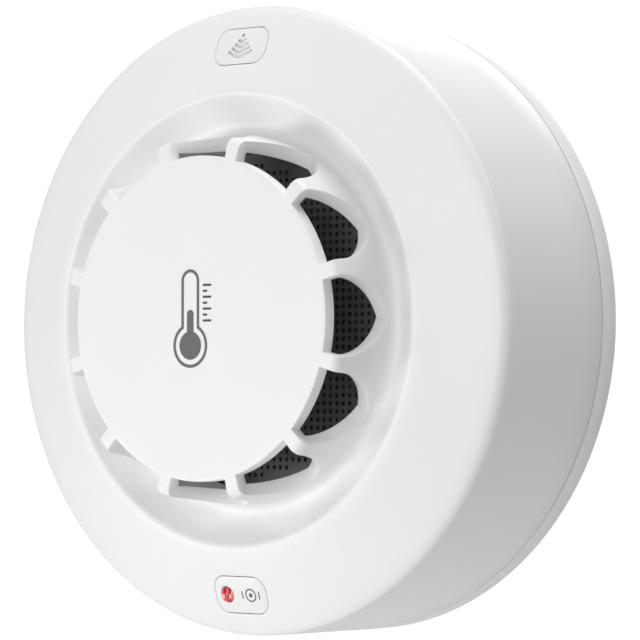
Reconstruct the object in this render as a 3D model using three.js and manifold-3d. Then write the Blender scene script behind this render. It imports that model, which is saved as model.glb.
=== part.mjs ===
// Wall-mounted heat detector: a round white cover with a raised air cage over a thermistor, a test button,
// a sounder, two cells and a twist-lock base. Millimetres, +Z up. The wall is the plane y = 0 and the
// detector faces -Y. Pieces are drawn lying down, with local Z pointing out of the wall, and the whole
// group is then turned upright.
import * as THREE from 'three';
import { mergeVertices } from 'three/addons/utils/BufferGeometryUtils.js';
import Module from 'manifold-3d';

const wasm = await Module();
wasm.setup();

// ---- Driving dimensions ------------------------------------------------------------------------------

// Outer form, heights measured from the wall.
const bodyRadius = 60;
const bodyDepth = 49.9;
const bandHeight = 4.5;
const rimInset = 2;
const rimDrop = 14.7;
const shoulderInset = 0.4;
const shoulderDepth = 2.2;
const shoulderFullness = 2.6;
const ringInnerRadius = 42.7;
const ringRise = 5.1;
const dishRadius = 37;
const dishDrop = 14.3;
const shellWall = 2.4;

// Air cage in the middle of the face.
const capRadius = 30.3;
const capThickness = 2.6;
const cageRadius = 34.2;
const cageWall = 2.2;
const cageFlare = 0.7;
const cageCorner = 1.8;
const windowCount = 12;
const ribWidth = 2.7;
const windowDrop = 12.7;
const windowSpring = 1.2;
const rootRoundShare = 0.8;

// Insect screen under the cage.
const screenDrop = 16.1;
const screenThickness = 0.9;
const screenSkirtWall = 1.2;

// Test key and sound outlet, both in the ring.
const keyWidth = 12;
const keyHeight = 6.6;
const keyCorner = 2.5;
const keyCircle = 51.8;
const keyFlange = 1.3;
const keyFlangeThickness = 1;
const keyTravel = 0.5;
const plungerStand = 1.6;
const lensRadius = 1.45;
const lensOffset = 3.3;
const stemRadius = 1.7;
const stemOffset = 2.4;
const slotWidth = 0.62;
const slotSpread = 40;
const slotRadii = [1.2, 2.2, 3.15, 4.1];
const slotCentre = 2.1;

// Mounting base and its twist lock.
const basePlate = 2;
const upstandHeight = 2.2;
const upstandWall = 1.4;
const hookCount = 3;
const hookStart = 38;
const hookSpan = 12;
const hookStop = 1.6;
const hookRadius = 47;
const hookWall = 2;
const hookReach = 2.4;
const lipThickness = 1.6;
const wallSlotWidth = 4.8;
const wallSlotLength = 13;
const wallSlotCircle = 30;
const keyholeRadius = 4.4;
const baseEdge = 0.4;
const channelRoof = 1.6;
const stiffenerInner = 19;
const stiffenerOuter = 20.4;
const stiffenerHeight = 1.2;

// Rear cover of the head.
const rearFloor = 2.7;
const rearPlate = 1.7;
const rearRimWall = 1.3;
const rearRimHeight = 4.8;
const lugWall = 2;
const doorHeight = 25;
const doorThickness = 1.6;
const doorTab = 4;
const tabThickness = 1.2;
const tabReach = 2.2;
const gripCount = 5;
const gripPitch = 2;
const gripLength = 6;
const gripWidth = 0.8;
const bayWall = 1.2;

// Cells and contacts.
const cellRadius = 5.25;
const cellLength = 43.3;
const cellNub = 1.2;
const cellNubRadius = 1.9;
const cellPitch = 11.4;
const contactThickness = 0.4;
const contactWidth = 8;
const springRoom = 6.6;
const springWire = 0.8;
const springRadius = 3.2;
const springTurns = 3.5;
const springSteps = 36;

// Circuit board and what stands on it.
const boardThickness = 1.6;
const boardScrewCircle = 40;
const postRadius = 3;
const housingScrewCount = 3;
const bossRadius = 3;
const sounderRadius = 10.8;
const sounderHeight = 7.2;
const sounderWall = 1;
const sounderPort = 2;
const sleeveRadius = 3.2;
const sleeveBore = 1.8;
const sleeveStand = 4;
const beadRadius = 1.3;
const leadRadius = 0.3;
const switchSide = 6;
const switchHeight = 3.4;
const ledRadius = 1.5;
const ledHeight = 4.4;
const ledBase = 0.8;
const discStand = 3;
const discThickness = 0.4;
const radioWidth = 16;
const radioHeight = 24;
const radioThickness = 0.8;
const radioInset = 11.5;
const shieldWidth = 13;
const shieldHeight = 15;
const shieldStand = 2.4;
const shieldDrop = 3;
const chipWidth = 5;
const chipHeight = 8;
const chipStand = 0.2;
const chipThickness = 1.6;
const chipPlace = [12, -13];
const chipLegs = [-3, -1, 1, 3];
const capacitorRadius = 3.1;
const capacitorHeight = 7.4;
const capacitorNeck = 0.3;
const capacitorPlace = [11, 9];
const coilFlangeRadius = 3.9;
const coilRadius = 2.9;
const coilHeight = 6;
const coilPlace = [12, -11];
const leadPitch = 1.6;

// Screws.
const screwRadius = 1.3;
const screwHeadRadius = 2.6;
const screwHead = 1.6;
const recessLength = 2.8;
const recessWidth = 0.7;
const recessDepth = 0.8;
const housingScrewLength = 10;
const boardScrewLength = 8;

// Clearances.
const gap = 0.3;
const runningGap = 0.4;
const overcut = 1;
const turnSteps = 48;
const curveSteps = 3;

// ---- Heights and radii that follow from them ---------------------------------------------------------

const capTop = bodyDepth;
const capUnder = capTop - capThickness;
const rimHeight = capTop - rimDrop;
const rimRadius = bodyRadius - rimInset;
const shoulderRadius = bodyRadius - shoulderInset;
const ringInnerHeight = rimHeight + ringRise;
const dishFloor = capTop - dishDrop;
const dishUnder = dishFloor - shellWall;
const cageInner = cageRadius - cageWall;
const innerRadius = bodyRadius - shellWall;
const coverFoot = bandHeight + runningGap;

const rearUnder = bandHeight + rearFloor;
const rearTop = rearUnder + rearPlate;
const rearRadius = innerRadius - runningGap;
const rearRimInner = rearRadius - rearRimWall;
const bossCircle = rearRimInner - gap - bossRadius;

const cellAxis = rearUnder + doorThickness + 2 * gap + cellRadius;
const boardUnder = cellAxis + cellRadius + 2 * gap;
const boardTop = boardUnder + boardThickness;
const boardRadius = rearRimInner - runningGap - 1;
const onBoard = boardTop + gap;
const partFoot = rearTop + gap;

const screenTop = capTop - screenDrop;
const screenRadius = cageInner - gap;
const sounderCircle = screenRadius + gap + sounderRadius + 0.5;

const contactFace = cellLength / 2 + (springRoom + gap) / 2 + cellNub / 2;
const bayLength = 2 * (contactFace + contactThickness + gap);
const doorLength = bayLength - 3;
const bayHeight = doorHeight + 1;

const lugLipOuter = hookRadius + hookWall / 2 + runningGap;
const lugWallInner = hookRadius + hookWall / 2 + hookReach + 1.5 * runningGap;
const lugFoot = basePlate + 1.5 * runningGap;
const hookTop = rearUnder - 1.5 * runningGap;

// Height of the sloping ring face at a distance from the middle.
function ringHeight(radius) {
  const slope = ringRise / (rimRadius - ringInnerRadius);
  return rimHeight + (rimRadius - radius) * slope;
}

// ---- Shape helpers -----------------------------------------------------------------------------------

const radians = THREE.MathUtils.degToRad;

function solid(geometry) {
  const bare = geometry.clone();
  bare.deleteAttribute('normal');
  bare.deleteAttribute('uv');
  const welded = mergeVertices(bare, 1e-4);
  const corners = welded.index.array;
  const triangles = [];
  for (let i = 0; i < corners.length; i += 3) {
    const [a, b, c] = [corners[i], corners[i + 1], corners[i + 2]];
    if (a !== b && b !== c && c !== a) triangles.push(a, b, c);
  }
  return new wasm.Manifold(new wasm.Mesh({
    numProp: 3,
    vertProperties: new Float32Array(welded.attributes.position.array),
    triVerts: new Uint32Array(triangles),
  }));
}

function joined(...pieces) {
  return pieces.reduce((whole, piece) => whole.add(piece));
}

function cut(piece, ...tools) {
  return tools.reduce((whole, tool) => whole.subtract(tool), piece);
}

// A profile of [radius, height] points turned about the local Z axis, drawn anticlockwise.
function turned(profile, steps = turnSteps) {
  const points = profile.map(([radius, height]) => new THREE.Vector2(radius, height));
  return new THREE.LatheGeometry(points, steps).rotateX(Math.PI / 2);
}

function disc(radius, low, high, steps = turnSteps) {
  return solid(turned([[0, low], [radius, low], [radius, high], [0, high]], steps));
}

function tube(inner, outer, low, high, steps = turnSteps) {
  return solid(turned([[inner, low], [outer, low], [outer, high], [inner, high], [inner, low]], steps));
}

function rod(radius, low, high, x, y, steps = 16) {
  const profile = [[0, low], [radius, low], [radius, high], [0, high]];
  return solid(turned(profile, steps).translate(x, y, 0));
}

function block(width, height, low, high, x = 0, y = 0) {
  const box = new THREE.BoxGeometry(width, height, high - low);
  return solid(box.translate(x, y, (low + high) / 2));
}

function prism(shape, low, high, x = 0, y = 0, turn = 0) {
  const settings = { depth: high - low, bevelEnabled: false, curveSegments: curveSteps };
  const body = new THREE.ExtrudeGeometry(shape, settings);
  return solid(body.rotateZ(turn).translate(x, y, low));
}

function roundedRectangle(width, height, corner) {
  const shape = new THREE.Shape();
  const [x, y] = [width / 2 - corner, height / 2 - corner];
  shape.absarc(x, y, corner, 0, Math.PI / 2);
  shape.absarc(-x, y, corner, Math.PI / 2, Math.PI);
  shape.absarc(-x, -y, corner, Math.PI, 1.5 * Math.PI);
  shape.absarc(x, -y, corner, 1.5 * Math.PI, 2 * Math.PI);
  return shape;
}

// Part of a ring between two angles in degrees.
function sector(inner, outer, start, end) {
  const shape = new THREE.Shape();
  shape.absarc(0, 0, outer, radians(start), radians(end), false);
  shape.absarc(0, 0, inner, radians(end), radians(start), true);
  return shape;
}

// Points along a circular arc of [radius, height], angles in degrees.
function arc(centreRadius, centreHeight, size, start, end, steps) {
  return Array.from({ length: steps + 1 }, (_, i) => {
    const angle = radians(start + ((end - start) * i) / steps);
    return [centreRadius + size * Math.cos(angle), centreHeight + size * Math.sin(angle)];
  });
}

function onCircle(circle, degrees) {
  return [circle * Math.cos(radians(degrees)), circle * Math.sin(radians(degrees))];
}

// A layer of the sloping ring, between two depths below its face.
function ringLayer(top, bottom) {
  const [near, far] = [ringInnerRadius + 1, rimRadius - 1];
  return solid(turned([
    [near, ringHeight(near) - bottom],
    [far, ringHeight(far) - bottom],
    [far, ringHeight(far) - top],
    [near, ringHeight(near) - top],
    [near, ringHeight(near) - bottom],
  ]));
}

function keyPrism(grow, flange, y) {
  const shape = roundedRectangle(keyWidth + 2 * (grow + flange), keyHeight + 2 * grow, keyCorner + grow);
  return prism(shape, boardTop, capTop, 0, y);
}

// ---- Cover -------------------------------------------------------------------------------------------

// The rounded shoulder between the crisp rim and the side wall, from its foot up to the rim.
function shoulder(steps) {
  return Array.from({ length: steps + 1 }, (_, i) => {
    const drop = 1 - i / steps;
    const radius = rimRadius + (shoulderRadius - rimRadius) * (1 - (1 - drop) ** shoulderFullness);
    return [radius, rimHeight - shoulderDepth * drop];
  });
}

function coverProfile() {
  const cageRoot = cageRadius + cageFlare;
  const rootFillet = (dishRadius - cageRoot) * rootRoundShare;
  const innerShoulder = rimRadius - shellWall / 2;
  return [
    [0, capUnder],
    [cageInner, capUnder],
    [cageInner, dishUnder],
    [dishRadius - 0.5, dishUnder],
    [ringInnerRadius + 0.6, ringHeight(ringInnerRadius + 0.6) - shellWall],
    [innerShoulder, ringHeight(innerShoulder) - shellWall],
    [innerRadius, rimHeight - shoulderDepth - shellWall / 2],
    [innerRadius, coverFoot],
    [bodyRadius, coverFoot],
    ...shoulder(3),
    [ringInnerRadius + 0.8, ringHeight(ringInnerRadius + 0.8)],
    [ringInnerRadius - 0.5, ringInnerHeight - 0.4],
    [dishRadius + 0.6, dishFloor + 0.25],
    ...arc(cageRoot + rootFillet, dishFloor + rootFillet, rootFillet, 270, 180, 2),
    ...arc(cageRadius - cageCorner, capTop - cageCorner, cageCorner, 0, 90, 2),
    [0, capTop],
  ];
}

// One pointed-arch air window: it is open at the face, outside the cap, and runs down the cage wall to a
// point. Its sides lie on planes through the middle, so the ribs between windows keep their width.
function airWindow(index) {
  const halfAngle = Math.PI / windowCount - Math.asin(ribWidth / 2 / capRadius);
  const [near, far] = [cageInner - 3, dishRadius - 0.3];
  const half = cageRadius * Math.tan(halfAngle);
  const tip = capTop - windowDrop;
  const spring = capTop - windowSpring;
  const rise = spring - tip;
  const bow = (half ** 2 + rise ** 2) / (2 * half);
  const sweep = Math.atan2(rise, bow - half);
  const shape = new THREE.Shape();
  shape.moveTo(half, capTop + 2);
  shape.lineTo(-half, capTop + 2);
  shape.absarc(bow - half, spring, bow, Math.PI, Math.PI + sweep, false);
  shape.absarc(half - bow, spring, bow, -sweep, 0, false);
  shape.closePath();
  const settings = { depth: far - near, bevelEnabled: false, curveSegments: curveSteps + 1 };
  const body = new THREE.ExtrudeGeometry(shape, settings);
  const corners = body.attributes.position;
  for (let i = 0; i < corners.count; i += 1) {
    const outward = near + corners.getZ(i);
    const aside = (corners.getX(i) * outward) / cageRadius;
    corners.setXYZ(i, outward, aside, corners.getY(i));
  }
  return solid(body.rotateZ((2 * Math.PI * index) / windowCount));
}

function bossAngles() {
  return Array.from({ length: housingScrewCount }, (_, i) => (360 / housingScrewCount) * i);
}

function frontCover() {
  const shell = solid(turned(coverProfile()));
  const bossTop = ringHeight(bossCircle + bossRadius) - shellWall / 2;
  const bosses = bossAngles().map((angle) => (
    rod(bossRadius, partFoot, bossTop, ...onCircle(bossCircle, angle))
  ));
  const pilots = bossAngles().map((angle) => (
    rod(screwRadius + gap, partFoot - 1, partFoot + housingScrewLength, ...onCircle(bossCircle, angle))
  ));
  const windows = joined(...Array.from({ length: windowCount }, (_, i) => airWindow(i)));
  const openings = windows.subtract(disc(capRadius, dishUnder, capTop + 3));
  const keyHole = keyPrism(gap, 0, -keyCircle);
  const outletHole = keyPrism(gap, 0, keyCircle);
  return cut(joined(shell, ...bosses), ...pilots, openings, keyHole, outletHole);
}

function insectScreen() {
  const hub = sleeveRadius + gap;
  return solid(turned([
    [hub, screenTop - screenThickness],
    [screenRadius - screenSkirtWall, screenTop - screenThickness],
    [screenRadius - screenSkirtWall, onBoard],
    [screenRadius, onBoard],
    [screenRadius, screenTop],
    [hub, screenTop],
    [hub, screenTop - screenThickness],
  ]));
}

// A curved sound slot with round ends, bowed about the dot above it.
function soundSlot(radius) {
  const [near, far] = [radius - slotWidth / 2, radius + slotWidth / 2];
  const [start, end] = [radians(270 - slotSpread), radians(270 + slotSpread)];
  const tipAt = (angle) => [radius * Math.cos(angle), radius * Math.sin(angle), slotWidth / 2];
  const shape = new THREE.Shape();
  shape.absarc(0, 0, far, start, end, false);
  shape.absarc(...tipAt(end), end, end + Math.PI, false);
  shape.absarc(0, 0, near, end, start, true);
  shape.absarc(...tipAt(start), start + Math.PI, start + 2 * Math.PI, false);
  return shape;
}

function soundGrille() {
  const plate = ringLayer(0, shellWall + gap + keyFlangeThickness).intersect(keyPrism(0, 0, keyCircle));
  const flange = ringLayer(shellWall + gap, shellWall + gap + keyFlangeThickness)
    .intersect(keyPrism(0, keyFlange, keyCircle));
  const top = keyCircle + slotCentre;
  const slots = slotRadii.map((radius) => prism(soundSlot(radius), boardTop, capTop, 0, top));
  const dot = rod(slotWidth * 0.6, boardTop, capTop, 0, top, 12);
  return cut(joined(plate, flange), dot, ...slots);
}

// ---- Test key ----------------------------------------------------------------------------------------

function switchTop() {
  return onBoard + switchHeight;
}

function plungerTop() {
  return switchTop() + plungerStand;
}

function testButton() {
  const flangeTop = shellWall + gap;
  const cap = ringLayer(0, flangeTop + keyFlangeThickness).intersect(keyPrism(0, 0, -keyCircle));
  const flange = ringLayer(flangeTop, flangeTop + keyFlangeThickness)
    .intersect(keyPrism(0, keyFlange, -keyCircle));
  const stem = rod(stemRadius, plungerTop() + gap, ringHeight(keyCircle) - flangeTop, stemOffset, -keyCircle);
  const guide = rod(lensRadius + gap / 2, boardTop, capTop, -lensOffset, -keyCircle);
  return cut(joined(cap, flange, stem), guide);
}

function buttonLens() {
  const foot = onBoard + ledHeight + keyTravel + gap;
  const top = ringHeight(keyCircle);
  const collar = ringHeight(keyCircle + keyHeight / 2) - shellWall - 2 * gap - 2 * keyFlangeThickness;
  return solid(turned([
    [0, foot],
    [lensRadius - 0.2, foot],
    [lensRadius - 0.2, collar - 1],
    [lensRadius + 0.5, collar - 1],
    [lensRadius + 0.5, collar],
    [lensRadius, collar],
    [lensRadius, top - 0.1],
    [lensRadius * 0.6, top + 0.2],
    [0, top + 0.3],
  ], 16).translate(-lensOffset, -keyCircle, 0));
}

function switchBody() {
  const shape = roundedRectangle(switchSide, switchSide, 0.5);
  const body = prism(shape, onBoard, switchTop(), stemOffset, -keyCircle);
  const wellFoot = switchTop() - keyTravel - 3 * gap;
  const well = rod(stemRadius + gap, wellFoot, switchTop() + overcut, stemOffset, -keyCircle);
  return cut(body, well);
}

function switchPlunger() {
  return rod(stemRadius, switchTop() - 2 * gap, plungerTop(), stemOffset, -keyCircle);
}

function statusLed() {
  const top = onBoard + ledHeight;
  return solid(turned([
    [0, onBoard],
    [ledRadius + gap, onBoard],
    [ledRadius + gap, onBoard + ledBase],
    [ledRadius, onBoard + ledBase],
    ...arc(0, top - ledRadius, ledRadius, 0, 90, 3),
  ], 12).translate(-lensOffset, -keyCircle, 0));
}

// ---- Mounting base and rear cover --------------------------------------------------------------------

function baseHook(index) {
  const start = hookStart + (360 / hookCount) * index;
  const inner = hookRadius - hookWall / 2;
  const outer = hookRadius + hookWall / 2;
  const reach = outer + hookReach;
  const sink = basePlate / 2;
  const wall = prism(sector(inner, outer, start, start + hookSpan), sink, hookTop);
  const lip = prism(sector(outer - 0.2, reach, start, start + hookSpan), hookTop - lipThickness, hookTop);
  const stop = prism(sector(inner, reach + hookWall, start - hookStop - gap, start - gap), sink, hookTop);
  const tie = prism(sector(inner, outer, start - hookStop, start + 1), sink, hookTop);
  return joined(wall, lip, stop, tie);
}

function mountingBase() {
  const upstandOuter = innerRadius - 1.5 * runningGap;
  const upstandInner = upstandOuter - upstandWall;
  const dish = solid(turned([
    [0, 0],
    [bodyRadius - baseEdge, 0],
    [bodyRadius, baseEdge],
    [bodyRadius, bandHeight],
    [upstandOuter, bandHeight],
    [upstandOuter, bandHeight + upstandHeight],
    [upstandInner, bandHeight + upstandHeight],
    [upstandInner, basePlate],
    [0, basePlate],
  ]));
  const channelTop = bandHeight - channelRoof;
  const channel = tube(upstandOuter - baseEdge / 2, bodyRadius - upstandWall, -overcut, channelTop);
  const hooks = Array.from({ length: hookCount }, (_, i) => baseHook(i));
  const coreOuts = hooks.map((_, i) => {
    const start = hookStart + (360 / hookCount) * i;
    const [near, far] = [hookRadius + hookWall / 2 + 0.1, hookRadius + hookWall / 2 + hookReach];
    return prism(sector(near, far, start, start + hookSpan), -1, basePlate + 1);
  });
  const slots = [0, 180].map((angle) => {
    const shape = roundedRectangle(wallSlotWidth, wallSlotLength, wallSlotWidth / 2 - 0.01);
    return prism(shape, -1, basePlate + 1, ...onCircle(wallSlotCircle, angle));
  });
  const keyholes = [90, 270].map((angle) => {
    const shape = roundedRectangle(wallSlotWidth, wallSlotLength, wallSlotWidth / 2 - 0.01);
    const [x, y] = onCircle(wallSlotCircle, angle);
    const slot = prism(shape, -1, basePlate + 1, x, y);
    return slot.add(rod(keyholeRadius, -1, basePlate + 1, x, y - wallSlotLength / 2 + keyholeRadius));
  });
  const stiffener = tube(stiffenerInner, stiffenerOuter, basePlate / 2, basePlate + stiffenerHeight, 24);
  return cut(joined(dish, stiffener, ...hooks), channel, ...coreOuts, ...slots, ...keyholes);
}

function rearLug(index) {
  const start = hookStart + (360 / hookCount) * index;
  const wallOuter = lugWallInner + lugWall;
  const lipTop = hookTop - lipThickness - runningGap;
  const wall = prism(sector(lugWallInner, wallOuter, start, start + hookSpan), lugFoot, rearUnder + 1);
  const lip = prism(sector(lugLipOuter, lugWallInner + 0.2, start, start + hookSpan), lugFoot, lipTop);
  return joined(wall, lip);
}

function postAngles() {
  return [30, 150, 270];
}

function rearCover() {
  const tray = solid(turned([
    [0, rearUnder],
    [rearRadius, rearUnder],
    [rearRadius, rearTop + rearRimHeight],
    [rearRimInner, rearTop + rearRimHeight],
    [rearRimInner, rearTop],
    [0, rearTop],
  ]));
  const wallTop = boardUnder - gap;
  const bay = block(bayLength + 2 * bayWall, bayHeight + 2 * bayWall, rearTop - 0.5, wallTop);
  const bayRoom = block(bayLength, bayHeight, rearTop, wallTop + 1);
  const doorway = block(doorLength, doorHeight, rearUnder - 1, rearTop + 1);
  const posts = postAngles().map((angle) => (
    rod(postRadius, rearTop - 0.5, wallTop, ...onCircle(boardScrewCircle, angle))
  ));
  const pilots = postAngles().map((angle) => (
    rod(screwRadius + gap, wallTop - boardScrewLength, wallTop + 1, ...onCircle(boardScrewCircle, angle))
  ));
  const screwHoles = bossAngles().map((angle) => (
    rod(screwRadius + gap, rearUnder - 1, rearTop + 1, ...onCircle(bossCircle, angle))
  ));
  const lugs = Array.from({ length: hookCount }, (_, i) => rearLug(i));
  return cut(joined(tray, bay, ...posts, ...lugs), bayRoom, doorway, ...pilots, ...screwHoles);
}

function batteryDoor() {
  const panelTop = rearUnder + doorThickness;
  const panel = block(doorLength - 2 * gap, doorHeight - 2 * gap, rearUnder, panelTop);
  const tabLow = rearTop + gap;
  const tabTop = tabLow + tabThickness;
  const tabMiddle = (doorLength - 2 * gap - tabThickness) / 2;
  const tabs = [-1, 1].map((side) => joined(
    block(tabThickness, doorTab, panelTop - 0.5, tabTop, side * tabMiddle),
    block(tabReach, doorTab, tabLow, tabTop, side * (doorLength / 2 + 0.2)),
  ));
  const grips = Array.from({ length: gripCount }, (_, i) => {
    const y = (i - (gripCount - 1) / 2) * gripPitch;
    return block(gripLength, gripWidth, rearUnder - 0.5, rearUnder + gap, doorLength / 2 - gripLength, y);
  });
  return joined(panel, ...tabs, ...grips);
}

// ---- Cells and contacts ------------------------------------------------------------------------------

// Cells lie side by side along X with opposite ends to the right; side is +1 or -1.
function cell(side) {
  const nubEnd = contactFace - gap;
  const canEnd = nubEnd - cellNub;
  const lathe = turned([
    [0, canEnd - cellLength],
    [cellRadius - 0.3, canEnd - cellLength],
    [cellRadius, canEnd - cellLength + 0.3],
    [cellRadius, canEnd - 0.3],
    [cellRadius - 0.3, canEnd],
    [cellNubRadius, canEnd],
    [cellNubRadius, nubEnd],
    [0, nubEnd],
  ], 24);
  return solid(lathe.rotateY((side * Math.PI) / 2).translate(0, (side * cellPitch) / 2, cellAxis));
}

function cellSpring(side) {
  const start = contactFace - gap - springWire / 2;
  const end = start - springRoom + cellNub + springWire;
  const points = Array.from({ length: springSteps + 1 }, (_, i) => {
    const along = i / springSteps;
    const angle = 2 * Math.PI * springTurns * along;
    const x = -side * (start + (end - start) * along);
    const y = (side * cellPitch) / 2 + springRadius * Math.cos(angle);
    return new THREE.Vector3(x, y, cellAxis + springRadius * Math.sin(angle));
  });
  const path = new THREE.CatmullRomCurve3(points);
  const section = new THREE.Shape().absarc(0, 0, springWire / 2, 0, 2 * Math.PI);
  const wire = { steps: springSteps, extrudePath: path, bevelEnabled: false, curveSegments: curveSteps };
  return solid(new THREE.ExtrudeGeometry(section, wire));
}

function contactPlate(x, y, width) {
  return block(contactThickness, width, partFoot + 2, boardUnder - gap, x, y);
}

function contactLink() {
  return contactPlate(contactFace + contactThickness / 2, 0, cellPitch + contactWidth);
}

function contactTerminal(side) {
  return contactPlate(-contactFace - contactThickness / 2, (side * cellPitch) / 2, contactWidth);
}

// ---- Circuit board and what stands on it -------------------------------------------------------------

function mainBoard() {
  const board = disc(boardRadius, boardUnder, boardTop);
  const notches = bossAngles().map((angle) => {
    const [x, y] = onCircle(bossCircle, angle);
    const [farX, farY] = onCircle(bossCircle + 5, angle);
    const round = rod(bossRadius + runningGap, boardUnder - 1, boardTop + 1, x, y);
    const width = 2 * (bossRadius + runningGap);
    const shape = roundedRectangle(10, width, 0.1);
    const way = prism(shape, boardUnder - 1, boardTop + 1, farX, farY, radians(angle));
    return round.add(way);
  });
  const holes = postAngles().map((angle) => (
    rod(screwRadius + gap, boardUnder - 1, boardTop + 1, ...onCircle(boardScrewCircle, angle))
  ));
  return cut(board, ...notches, ...holes);
}

function radioModule() {
  return block(radioWidth, radioHeight, onBoard, onBoard + radioThickness, -(boardRadius - radioInset), 0);
}

function radioShield() {
  const low = onBoard + radioThickness + gap;
  const shape = roundedRectangle(shieldWidth, shieldHeight, 1);
  return prism(shape, low, low + shieldStand, -(boardRadius - radioInset), -shieldDrop);
}

function controlChip() {
  const [x, y] = chipPlace;
  const low = onBoard + chipStand;
  const body = prism(roundedRectangle(chipWidth, chipHeight, 0.2), low, low + chipThickness, x, y);
  const edge = chipWidth / 2;
  const legs = chipLegs.flatMap((along) => [-1, 1].map((side) => joined(
    block(1, 0.5, onBoard + 0.7, onBoard + 1, x + side * (edge + 0.4), y + along),
    block(0.4, 0.5, onBoard, onBoard + 1, x + side * (edge + 0.8), y + along),
    block(0.9, 0.5, onBoard, onBoard + 0.3, x + side * (edge + 1.1), y + along),
  )));
  return joined(body, ...legs);
}

function capacitor() {
  const [inset, y] = capacitorPlace;
  const neck = capacitorRadius - capacitorNeck;
  const top = onBoard + capacitorHeight;
  return solid(turned([
    [0, onBoard],
    [capacitorRadius, onBoard],
    [capacitorRadius, onBoard + 4 * capacitorNeck],
    [neck, onBoard + 5 * capacitorNeck],
    [capacitorRadius, onBoard + 6 * capacitorNeck],
    [capacitorRadius, top - capacitorNeck],
    [neck, top],
    [0, top],
  ], 16).translate(boardRadius - inset, y, 0));
}

function soundCoil() {
  const [inset, y] = coilPlace;
  const top = onBoard + coilHeight;
  return solid(turned([
    [0, onBoard],
    [coilFlangeRadius, onBoard],
    [coilFlangeRadius, onBoard + 1],
    [coilRadius, onBoard + 1],
    [coilRadius, top - 1],
    [coilFlangeRadius, top - 1],
    [coilFlangeRadius, top],
    [0, top],
  ], 16).translate(boardRadius - inset, y, 0));
}

function sounderCase() {
  const top = onBoard + sounderHeight;
  return solid(turned([
    [sounderPort, top - sounderWall],
    [sounderRadius - sounderWall, top - sounderWall],
    [sounderRadius - sounderWall, onBoard],
    [sounderRadius, onBoard],
    [sounderRadius, top],
    [sounderPort, top],
    [sounderPort, top - sounderWall],
  ], 24).translate(0, sounderCircle, 0));
}

function sounderDisc() {
  const radius = sounderRadius - sounderWall - gap;
  return rod(radius, onBoard + discStand, onBoard + discStand + discThickness, 0, sounderCircle, 24);
}

function thermistorSleeve() {
  return tube(sleeveBore, sleeveRadius, onBoard, screenTop + sleeveStand, 16);
}

function thermistor() {
  const beadFoot = screenTop + sleeveStand + 1;
  const bead = solid(turned([
    [0, beadFoot],
    [beadRadius * 0.7, beadFoot + 0.2],
    ...arc(0, beadFoot + 2, beadRadius, 0, 90, 4),
  ], 12));
  const leads = [-1, 1].map((side) => rod(leadRadius, onBoard, beadFoot + 1.5, (side * leadPitch) / 2, 0, 6));
  return joined(bead, ...leads);
}

// A pan-head screw: the head sits at headFoot and the shank runs from it by length, up (+1) or down (-1).
function screw(headFoot, length, direction, x, y) {
  const shankEnd = headFoot + direction * length;
  const headTop = headFoot - direction * screwHead;
  const [shankLow, shankHigh] = [Math.min(headFoot, shankEnd), Math.max(headFoot, shankEnd)];
  const [headLow, headHigh] = [Math.min(headFoot, headTop), Math.max(headFoot, headTop)];
  const head = rod(screwHeadRadius, headLow, headHigh, x, y);
  const shank = rod(screwRadius, shankLow - 0.1, shankHigh + 0.1, x, y, 12);
  const recess = [[recessLength, recessWidth], [recessWidth, recessLength]].map(([width, height]) => (
    block(width, height, headTop - recessDepth, headTop + recessDepth, x, y)
  ));
  return cut(joined(head, shank), ...recess);
}

function housingScrew(index) {
  const [x, y] = onCircle(bossCircle, bossAngles()[index]);
  return screw(rearUnder - gap, housingScrewLength - 1, 1, x, y);
}

function boardScrew(index) {
  const [x, y] = onCircle(boardScrewCircle, postAngles()[index]);
  return screw(boardTop + gap, boardScrewLength, -1, x, y);
}

// ---- Assembly ----------------------------------------------------------------------------------------

const looks = {
  whiteShell: { color: 0xf4f4f2, roughness: 0.42, metalness: 0 },
  screenBlack: { color: 0x141414, roughness: 0.6, metalness: 0 },
  innerPlastic: { color: 0xe4e4e0, roughness: 0.55, metalness: 0 },
  boardGreen: { color: 0x1f5a34, roughness: 0.5, metalness: 0 },
  chipBlack: { color: 0x1b1b1d, roughness: 0.45, metalness: 0 },
  tinPlate: { color: 0xc3c6c8, roughness: 0.3, metalness: 1 },
  steel: { color: 0x9fa2a5, roughness: 0.35, metalness: 1 },
  brass: { color: 0xb78f42, roughness: 0.35, metalness: 1 },
  copper: { color: 0xa8603a, roughness: 0.4, metalness: 1 },
  canBlue: { color: 0x2f3c52, roughness: 0.4, metalness: 0.3 },
  redLens: { color: 0xd21f1c, roughness: 0.15, metalness: 0 },
  beadAmber: { color: 0x7a4a22, roughness: 0.3, metalness: 0 },
};

const group = new THREE.Group();

function addPart(name, manifold, look) {
  const mesh = manifold.getMesh();
  const geometry = new THREE.BufferGeometry();
  geometry.setAttribute('position', new THREE.BufferAttribute(mesh.vertProperties, 3));
  geometry.setIndex(new THREE.BufferAttribute(mesh.triVerts, 1));
  geometry.computeVertexNormals();
  const part = new THREE.Mesh(geometry, new THREE.MeshStandardMaterial(looks[look]));
  part.name = name;
  group.add(part);
}

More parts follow.
